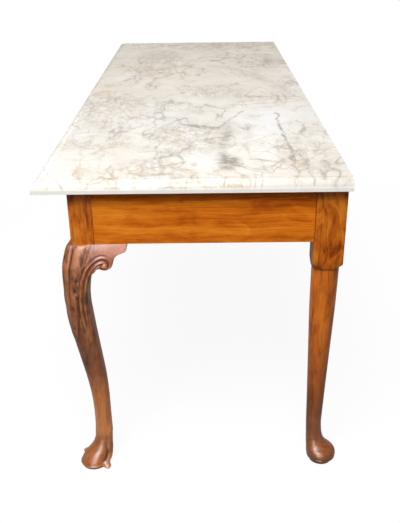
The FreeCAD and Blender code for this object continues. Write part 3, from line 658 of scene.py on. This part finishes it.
def three_point_arc(first, middle, last, count):
    """Points from first towards last on the circle through three points."""
    a, b, c = (complex(*point) for point in (first, middle, last))
    ratio = (c - a) / (b - a)
    centre = a + (b - a) * (ratio - abs(ratio) ** 2) / (2j * ratio.imag)
    start, via, stop = (np.angle(point - centre) for point in (a, b, c))
    turn = (stop - start) % (2 * math.pi)
    if (via - start) % (2 * math.pi) > turn:
        turn -= 2 * math.pi
    arc = centre + (a - centre) * np.exp(1j * turn * np.arange(count) / count)
    return list(zip(arc.real, arc.imag))


def bracket_outline(spacing=0.8):
    """Lower edge of a knee bracket from its tip to the leg, as (along, drop)."""
    stations = [(POST + x * BRACKET_LENGTH, y * BRACKET_DEPTH, *mark) for x, y, *mark in BRACKET_SHARES]
    points = []
    for index, station in enumerate(stations[:-1]):
        following = stations[index + 1]
        if len(station) > 2:
            continue
        if len(following) > 2:
            last = stations[index + 2]
            count = max(3, int(1.1 * math.dist(station, last[:2]) / spacing))
            points += three_point_arc(station, following[:2], last[:2], count)
        else:
            count = max(2, int(math.dist(station, following) / spacing))
            step = (np.array(following) - station) / count
            points += [tuple(station + k * step) for k in range(count)]
    return np.array(points + [stations[-1]])


def knee_swell(drop):
    """How far the knee stands out from the post at a drop."""
    return -POST * spline(KNEE_SHARES, 1 + drop / BRACKET_DEPTH)


def bracket_shell():
    """Carved knee bracket as (out, along, drop), its faces and its relief."""
    outline = bracket_outline()
    rows = np.linspace(0, 1, 76)[1:]
    along = POST + np.outer(rows, outline[:, 0] - POST)
    drop = np.outer(rows, outline[:, 1])
    edge = np.outer(1 - rows, np.hypot(outline[:, 0] - POST, outline[:, 1]))
    fall = np.clip(1 - (along - POST) / BRACKET_LENGTH, 0, 1) ** BRACKET_FALL_SHARE
    inward = np.clip(1 - edge / BRACKET_ROUNDING, 0, 1)
    round_over = BRACKET_ROUNDING * (1 - np.sqrt(np.clip(1 - inward ** 2, 0, 1)))
    height = carve_scroll(along, drop)
    knee = knee_swell(drop) - crown(drop)
    out = -(fall * knee + (1 - fall) * spline(BRACKET_ROLL, drop)) - height + round_over
    count = len(outline)
    back = np.full(count, RAIL_THICKNESS / MM)
    points = [(crown(0.0) - knee_swell(0.0), POST, 0.0)]
    points += list(zip(out.ravel(), along.ravel(), drop.ravel()))
    points += list(zip(back, outline[:, 0], outline[:, 1]))
    points.append((back[0], POST, 0.0))
    behind = 1 + rows.size * count
    faces = [(0, 1 + k, 2 + k) for k in range(count - 1)]
    faces += [
        (1 + r * count + k, 1 + (r + 1) * count + k, 2 + (r + 1) * count + k, 2 + r * count + k)
        for r in range(rows.size) for k in range(count - 1)]
    corner = len(points) - 1
    faces += [(corner, behind + k + 1, behind + k) for k in range(count - 1)]
    for k in (0, count - 1):
        ray = [1 + r * count + k for r in range(rows.size)]
        faces.append((0, *ray, behind + k, corner))
    relief = np.concatenate([[0], cavity(height).ravel(), np.zeros(count + 1)])
    return np.array(points), faces, relief


def smooth_union(distances, reach):
    """Union of distances with fillets about as wide as reach."""
    return -reach * np.log(sum(np.exp(-d / reach) for d in distances))


def leg_section(z):
    """Outer and inner face of the leg above its foot, and the rounding of its three kinds of corner."""
    knee_bottom = LEG_HEIGHT - BRACKET_DEPTH
    shin = (z - FOOT_HEIGHT) / (knee_bottom - FOOT_HEIGHT)
    knee = (z - knee_bottom) / BRACKET_DEPTH
    return [
        POST * np.where(z < knee_bottom, spline(SHIN_SHARES, shin, c), spline(KNEE_SHARES, knee, c))
        for c in range(1, 6)]


def leg_distance(u, v, z):
    """Signed distance from the front leg below the rails, u and v from the post's outer faces."""
    low, high, outer, side, inner = leg_section(z)
    x, y, half = u - (low + high) / 2, v - (low + high) / 2, (high - low) / 2
    rounding = np.where((x < 0) & (y < 0), outer, np.where((x > 0) & (y > 0), inner, side))
    qx, qy = np.abs(x) - half + rounding, np.abs(y) - half + rounding
    body = np.minimum(np.maximum(qx, qy), 0) + np.hypot(np.maximum(qx, 0), np.maximum(qy, 0)) - rounding
    share = z / FOOT_HEIGHT
    centre, radius = (POST * spline(LOBE_SHARES, share, c) for c in (1, 2))
    lobe = np.hypot(u - centre, v - centre) - radius
    toe_out, toe_along, toe_radius = (POST * spline(TOE_SHARES, share, c) for c in (1, 2, 3))
    toes = [
        np.hypot(u - toe_out, v - toe_along) - toe_radius,
        np.hypot(u - toe_along, v - toe_out) - toe_radius]
    inner_face = POST * FOOT_INNER_SHARE
    lobe = -smooth_union([-lobe, inner_face - u, inner_face - v], FOOT_INNER_FILLET)
    upper = smoothstep(58, 82, z)
    fillet = TOE_FILLET + TOE_FILLET_EXTRA * smoothstep(64, 36, z) * smoothstep(6, 20, z)
    return smooth_union([lobe * (1 - upper) + body * upper, *toes], fillet)


def square_reach(du, dv, half, rounding):
    """Distance from the middle of a rounded square to its side, along each direction."""
    more, less = np.maximum(np.abs(du), np.abs(dv)), np.minimum(np.abs(du), np.abs(dv))
    flat = half / more
    core = half - rounding
    across = np.clip(rounding ** 2 - core ** 2 * (more - less) ** 2, 0, None)
    corner = core * (more + less) + np.sqrt(across)
    return np.where(less * flat > core, corner, flat)


def leg_columns(outer_count=88, inner_count=36):
    """Directions round the leg from the outer corner, closer together on the sides that are seen."""
    half = np.concatenate([
        math.radians(45) + np.arctan(np.linspace(-1, 1, outer_count + 1)),
        math.radians(90) * (1 + np.linspace(0, 1, inner_count + 1)[1:] ** 1.5)])
    return np.concatenate([half, -half[1:-1][::-1]])


def leg_shell():
    """Carved front leg as (u, v, height) in millimetres, its faces and its relief."""
    angles = leg_columns()
    count = angles.size
    heights = np.concatenate([*(np.arange(*levels) for levels in LEG_RINGS), [LEG_HEIGHT]])
    z = np.repeat(heights[:, None], count, 1)
    low, high = leg_section(heights)[:2]
    lobe_middle = POST * spline(LOBE_SHARES, heights / FOOT_HEIGHT)
    middle = lobe_middle + ((low + high) / 2 - lobe_middle) * smoothstep(30, 88, heights)
    middle = middle[:, None]
    turn = math.sqrt(0.5)
    du = -turn * (np.cos(angles) + np.sin(angles))[None]
    dv = turn * (np.sin(angles) - np.cos(angles))[None]
    near = np.full(z.shape, TRACE_START)
    for _ in range(TRACE_STEPS):
        near -= leg_distance(middle + du * near, middle + dv * near, z)
    for _ in range(EASE_ROUNDS):
        eased = (np.roll(near, 1, 1) + 2 * near + np.roll(near, -1, 1)) / 4
        eased[1:-1] = (eased[:-2] + 2 * eased[1:-1] + eased[2:]) / 4
        near += (eased - near) * smoothstep(70, 50, z)
    u, v = middle + du * near, middle + dv * near

    step = np.hypot(np.diff(u, axis=1, append=u[:, :1]), np.diff(v, axis=1, append=v[:, :1]))
    around = np.concatenate([np.zeros((len(heights), 1)), np.cumsum(step, 1)[:, :-1]], 1)
    around = np.minimum(around, step.sum(1, keepdims=True) - around)
    along, out = np.maximum(u, v), np.minimum(u, v)
    drop = z - LEG_HEIGHT
    span = along.max(1, keepdims=True) - out.min(1, keepdims=True)
    faced = 1 - smoothstep(0.25, 0.5, (out - out.min(1, keepdims=True)) / span)
    height = faced * carve_scroll(along, drop) + carve_leaf(around, drop)
    height *= smoothstep(LEAF_FADE[0], -240, drop) * smoothstep(0.5, -1.5, drop)
    beside_toe = faced * smoothstep(16, 28, z) * smoothstep(150, 70, z)
    height += beside_toe * moulding(along, TOE_GROOVE)
    rim = moulding(z, RIM_SECTION) - SOLE_CUT * smoothstep(5.6, 2.6, z)
    normal_u = np.roll(v, -1, 1) - np.roll(v, 1, 1)
    normal_v = np.roll(u, 1, 1) - np.roll(u, -1, 1)
    raised = height + rim - crown(drop)
    lift = np.sign(normal_u * du + normal_v * dv) * raised / np.hypot(normal_u, normal_v)
    at_bracket = (along > POST - 3) & (drop > -BRACKET_DEPTH)
    on_end = v > u
    u += np.where(at_bracket, np.where(on_end, -raised, 0), lift * normal_u)
    v += np.where(at_bracket, np.where(on_end, 0, -raised), lift * normal_v)

    reach = square_reach(du[0], dv[0], POST / 2, POST_ROUNDING)
    post_u, post_v = POST / 2 + du[0] * reach, POST / 2 + dv[0] * reach
    rings = list(np.stack([u, v, z], 2))
    for level in (LEG_HEIGHT, LEG_HEIGHT + RAIL_HEIGHT / 2, LEG_HEIGHT + RAIL_HEIGHT):
        rings.append(np.stack([post_u, post_v, np.full(count, level)], 1))
    faces = ring_faces(len(rings), count)
    # Painted shade in the foot's creases and at its sole, painted highlight on its toe ridges
    toes = 0.22 * cavity(near) * smoothstep(72, 50, z) - 0.8 * smoothstep(5.0, 3.0, z)
    relief = np.concatenate([(cavity(height + rim) + toes).ravel(), np.zeros(3 * count)])
    on_post = [face[0] >= len(heights) * count for face in faces]
    return np.concatenate(rings), faces, relief, on_post


# Relief in millimetres that counts as 1 in the material
FULL_RELIEF = 1.6


# The wood paints shade, partly dirt, where relief is low and a highlight, partly wear, where high
def set_relief(piece, relief):
    attribute = piece.data.attributes.new("relief", "FLOAT", "POINT")
    attribute.data.foreach_set("value", np.clip(relief / FULL_RELIEF, -1, 1).astype(np.float32))


# Polished pieces, the only ones that mirror the reflection card
POLISHED = bpy.data.collections.new("polished_wood")


def at_front_corner(sign, u, v, z):
    """Places in metres of points in millimetres from the outer corner of a front post."""
    return np.stack([sign * (END_FACE - u * MM), FRONT_FACE + v * MM, z * MM], 1)


def make_carved_legs():
    """Front legs and their knee brackets with the carving that the solids leave out."""
    leg_points, leg_faces, leg_relief, on_post = leg_shell()
    ear_points, ear_faces, ear_relief = bracket_shell()
    for side, sign in (("left", -1), ("right", 1)):
        leg_places = at_front_corner(sign, *leg_points.T)
        leg = add_mesh(f"carved_{side}_leg", leg_places, leg_faces, [LEG_WOOD, POST_WOOD], on_post)
        set_relief(leg, leg_relief)
        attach(leg, "frame")
        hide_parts(f"front_{side}_leg")
        POLISHED.objects.link(leg)
        out, along, drop = ear_points.T
        for face, u, v in (("end", out, along), ("front", along, out)):
            ear_places = at_front_corner(sign, u, v, LEG_HEIGHT + drop)
            ear = add_mesh(f"carved_{side}_{face}_bracket", ear_places, ear_faces, [BRACKET_WOOD])
            set_relief(ear, ear_relief)
            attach(ear, "frame")
            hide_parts(f"{side}_{face}_bracket")
            POLISHED.objects.link(ear)


make_carved_legs()

# Back leg: club foot from its floor pad to the ankle, then the shaft up to the block. Height is a
# share of the foot and of the shaft. Then the centre towards the outer corner and the radius as
# shares of the block.
CLUB_SHARES = [
    (0.00, 0.268, 0.435), (0.03, 0.270, 0.480), (0.08, 0.272, 0.540), (0.15, 0.268, 0.572),
    (0.20, 0.262, 0.573), (0.25, 0.245, 0.556), (0.30, 0.203, 0.512), (0.35, 0.133, 0.443),
    (0.41, 0.076, 0.388), (0.48, 0.037, 0.350), (0.60, 0.002, 0.318), (0.80, -0.026, 0.300),
    (1.00, -0.039, 0.298)]
SHAFT_SHARES = [
    (0.00, -0.039, 0.298), (0.25, -0.033, 0.348), (0.50, -0.026, 0.405), (0.75, -0.018, 0.464),
    (1.00, -0.008, 0.488)]
PAD_SHARES = (0.262, 0.445)
# Floor pad: level and share of its radius
PAD_RINGS = [(0, 0.96), (0.8, 1.0), (PAD_HEIGHT - 0.8, 1.0), (PAD_HEIGHT, 0.95)]
# Turned bead and groove of the club, as level, height and half width
CLUB_SECTION = [(12.5, 1.3, 1.8), (16.5, -1.6, 1.6)]
# Levels of the club's rings: close on its round part, wider on its neck
CLUB_LEVELS = np.concatenate([
    np.arange(PAD_HEIGHT + 0.2, 62, 1.1), np.linspace(62, CLUB_HEIGHT, 20)[:-1]])


def back_leg_shell(columns=192):
    """Turned back leg as (u, v, height) from the middle of its block, and its faces."""
    angles = 2 * math.pi * (np.arange(columns) + 0.5) / columns
    du, dv = np.cos(angles), np.sin(angles)
    block_bottom = LEG_HEIGHT - BLOCK_DROP
    rings = []

    def add_ring(centre, radius, level):
        offset = BLOCK * centre
        rings.append(np.stack([offset + radius * du, offset + radius * dv, np.full(columns, level)], 1))

    def add_block_ring(radius, level):
        rings.append(np.stack([radius * du, BLOCK_SPREAD * radius * dv, level], 1))

    for level, radius in PAD_RINGS:
        add_ring(PAD_SHARES[0], BLOCK * PAD_SHARES[1] * radius, level)
    for level in CLUB_LEVELS:
        share = (level - PAD_HEIGHT) / (CLUB_HEIGHT - PAD_HEIGHT)
        radius = BLOCK * spline(CLUB_SHARES, share, 2) + moulding(level, CLUB_SECTION)
        add_ring(spline(CLUB_SHARES, share), radius, level)
    for share in np.linspace(0, 1, 70):
        facets = 0.10 * smoothstep(0.0, 0.3, share) * np.cos(14 * angles)
        add_ring(
            spline(SHAFT_SHARES, share), BLOCK * spline(SHAFT_SHARES, share, 2) + facets,
            CLUB_HEIGHT + share * (block_bottom - CLUB_HEIGHT))
    reach = square_reach(du, dv, BLOCK / 2, BLOCK_ROUNDING)
    slope = POMMEL_RISE / (BLOCK * math.sqrt(0.5) - BLOCK / 2)
    shoulder = block_bottom + (reach - BLOCK / 2) * slope
    top = LEG_HEIGHT + RAIL_HEIGHT
    for inward, up in ((1.2, -1.2 * slope), (0.35, 0.1), (0.0, 0.9)):
        add_block_ring(reach - inward, np.maximum(shoulder + up, block_bottom))
    first_block_ring = len(rings) - 3
    for share in (0.1, 0.4, 0.7, 1.0):
        add_block_ring(reach, shoulder + 0.9 + share * (top - shoulder - 0.9))
    faces = ring_faces(len(rings), columns)
    on_block = [face[0] >= (first_block_ring - 1) * columns for face in faces]
    return np.concatenate(rings), faces, on_block


def make_back_legs():
    """Turned back legs with their square blocks."""
    points, faces, on_block = back_leg_shell()
    for side, sign in (("left", -1), ("right", 1)):
        x = sign * (END_FACE + (points[:, 0] - BLOCK / 2) * MM)
        y = BACK_FACE + (points[:, 1] - BLOCK / 2 + BACK_LEG_PROUD) * MM
        places = np.stack([x, y, points[:, 2] * MM], 1)
        leg = add_mesh(f"turned_{side}_leg", places, faces, [SHAFT_WOOD, POST_WOOD], on_block)
        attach(leg, "frame")
        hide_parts(f"back_{side}_leg")
        POLISHED.objects.link(leg)


make_back_legs()


def loose_boxes(node):
    """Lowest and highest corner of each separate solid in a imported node."""
    shell = bmesh.new()
    shell.from_mesh(node.data)
    bmesh.ops.remove_doubles(shell, verts=shell.verts, dist=WELD_DISTANCE)
    waiting = set(shell.verts)
    boxes = []
    while waiting:
        group, edge = set(), [waiting.pop()]
        while edge:
            vert = edge.pop()
            group.add(vert)
            reached = {e.other_vert(vert) for e in vert.link_edges} & waiting
            waiting -= reached
            edge += reached
        places = np.array([vert.co for vert in group])
        boxes.append((places.min(0), places.max(0)))
    shell.free()
    return sorted(boxes, key=lambda box: tuple(box[0].round(4)))


def peg_shell(low, high, proud=0.0003, sides=14):
    """Riven peg along the longest side of its box, with a domed end that stands a little proud."""
    middle, size = (low + high) / 2, high - low
    axis = int(size.argmax())
    side_axes = [a for a in range(3) if a != axis]
    outward = 1 if middle[axis] > 0 else -1
    inner, outer = (low[axis], high[axis]) if outward > 0 else (high[axis], low[axis])
    radius = size[side_axes].min() / 2 * 0.98
    dome = [(1.0, -0.0006), (0.98, 0.0), (0.86, 0.6 * proud), (0.5, 0.9 * proud), (0.12, proud)]
    rings = [(0.9, inner)] + [(share, outer + outward * rise) for share, rise in dome]
    points = []
    for share, level in rings:
        for k in range(sides):
            angle = 2 * math.pi * k / sides
            reach = radius * share * (1 - 0.05 * (0.5 + 0.5 * math.sin(3 * angle + 40 * middle[2])))
            point = np.zeros(3)
            point[axis] = level
            point[side_axes] = middle[side_axes] + reach * np.array([math.cos(angle), math.sin(angle)])
            points.append(point)
    return points, ring_faces(len(rings), sides)


def make_pegs():
    """Draw pegs of the tenons, worn almost flush."""
    for corner in CORNERS:
        name = f"{corner}_pegs"
        points, faces = [], []
        for low, high in loose_boxes(nodes[name]):
            peg_points, peg_faces = peg_shell(low, high)
            faces += [tuple(len(points) + k for k in face) for face in peg_faces]
            points += peg_points
        pegs = add_mesh(f"worn_{name}", points, faces, [PEG_WOOD])
        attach(pegs, "frame")
        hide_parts(name)


make_pegs()


# Camera: place in metres, turns in degrees, lens and sensor in millimetres
CAMERA_PLACE = (2.3618, 0.0190, 1.2569)
CAMERA_PITCH, CAMERA_YAW, CAMERA_ROLL = 25.513, 0.37, -0.741
CAMERA_LENS, CAMERA_SENSOR = 49.42, 36.0


def make_camera():
    """Camera at the height of the eye, looking down along the table from its right-hand end."""
    pitch, yaw, roll = (math.radians(angle) for angle in (CAMERA_PITCH, CAMERA_YAW, CAMERA_ROLL))
    turn = Matrix.Rotation(yaw, 3, "Z")
    right = turn @ Vector((0, 1, 0))
    ahead = turn @ Vector((-1, 0, 0))
    forward = math.cos(pitch) * ahead - math.sin(pitch) * Vector((0, 0, 1))
    up = math.sin(pitch) * ahead + math.cos(pitch) * Vector((0, 0, 1))
    level = Matrix((right, up, -forward)).transposed()
    data = bpy.data.cameras.new("camera")
    data.sensor_width = CAMERA_SENSOR
    data.lens = CAMERA_LENS
    camera = bpy.data.objects.new("camera", data)
    rolled = level @ Matrix.Rotation(roll, 3, "Z")
    camera.matrix_world = Matrix.Translation(CAMERA_PLACE) @ rolled.to_4x4()
    bpy.context.scene.collection.objects.link(camera)
    bpy.context.scene.camera = camera


# Share of the white background that wood and marble mirror, as in a room with dark walls
GLOSS_SHOWS = 0.32


def add_light(name, place, target, size, power, sheds=True, mirrored=True):
    """Area lamp that sheds light, shows as a reflection, or both."""
    data = bpy.data.lights.new(name, "AREA")
    data.shape = "RECTANGLE"
    data.size, data.size_y = size
    data.energy = power
    light = bpy.data.objects.new(name, data)
    light.location = place
    light.rotation_euler = (Vector(target) - Vector(place)).to_track_quat("-Z", "Y").to_euler()
    light.visible_diffuse = sheds
    light.visible_glossy = mirrored
    bpy.context.scene.collection.objects.link(light)
    return light


def shown_to_eye(tree):
    """1 for the camera and through glass, less for what a gloss mirrors, 0 for light on the object."""
    path = add_node(tree, "ShaderNodeLightPath").outputs
    mirrored = multiply(tree, path["Is Glossy Ray"], GLOSS_SHOWS)
    return joined(tree, "MAXIMUM", [path["Is Camera Ray"], path["Is Transmission Ray"], mirrored])


def make_stage():
    """White floor and soft studio light."""
    half = 12.0
    corners = [(x * half, y * half, 0) for x, y in ((-1, -1), (1, -1), (1, 1), (-1, 1))]
    material, tree, shader = new_material("floor")
    speckle = noise(tree, place_vector(tree), 40.0)
    set_inputs(tree, shader, {
        "Base Color": (0.18, 0.18, 0.18, 1), "Roughness": 0.9, "Specular IOR Level": 0.0,
        "Normal": bump(tree, speckle, 0.02)})
    white = add_node(tree, "ShaderNodeEmission", {"Color": (1, 1, 1, 1), "Strength": 1.0})
    shaded = add_node(tree, "ShaderNodeBsdfDiffuse", {"Color": (1, 1, 1, 1)})
    reach = vector_node(tree, "LENGTH", place_vector(tree, (0.6, 0.9, 0)))
    near = fade(tree, reach, 2.2, 0.6, 0.0, 0.07)
    seen = add_node(tree, "ShaderNodeMixShader", {0: near, 1: white.outputs[0], 2: shaded.outputs[0]})
    blend = add_node(
        tree, "ShaderNodeMixShader", {0: shown_to_eye(tree), 1: shader.outputs[0], 2: seen.outputs[0]})
    tree.links.new(blend.outputs[0], tree.nodes["Material Output"].inputs["Surface"])
    floor = add_mesh("floor", corners, [(0, 1, 2, 3)], [material])

    world = bpy.data.worlds.new("studio")
    bpy.context.scene.world = world
    world.use_nodes = True
    tree = world.node_tree
    strength = math_node(tree, "MAXIMUM", shown_to_eye(tree), 0.03)
    set_inputs(tree, tree.nodes["Background"], {"Color": (1, 1, 1, 1), "Strength": strength})

    add_light("key", (2.38, -0.45, 3.36), (0.92, 0.0, 0.72), (1.7, 1.5), 121)
    add_light("overhead", (-0.7, -0.1, 2.6), (-0.7, 0.0, 0.7), (1.6, 1.2), 24)
    add_light("fill", (2.8, -0.4, 2.50), (0.92, -0.1, 0.6), (1.6, 1.0), 18, mirrored=False)
    add_light("side", (2.3, 1.4, 1.9), (0.92, 0.0, 0.3), (0.9, 0.9), 2.5, mirrored=False)
    add_light("back_left", (-2.4, -1.9, 0.42), (0.0, 0.0, 0.42), (1.2, 0.5), 30, mirrored=False)
    add_light("back_right", (-2.4, 1.9, 0.42), (0.0, 0.0, 0.42), (1.2, 0.5), 30, mirrored=False)
    card = add_light("card", (3.2, -0.50, 1.40), (0.92, -0.2, 0.6), (1.2, 2.6), 58, sheds=False)
    card.light_linking.receiver_collection = POLISHED


make_camera()
make_stage()
bpy.context.scene.view_settings.view_transform = "Standard"
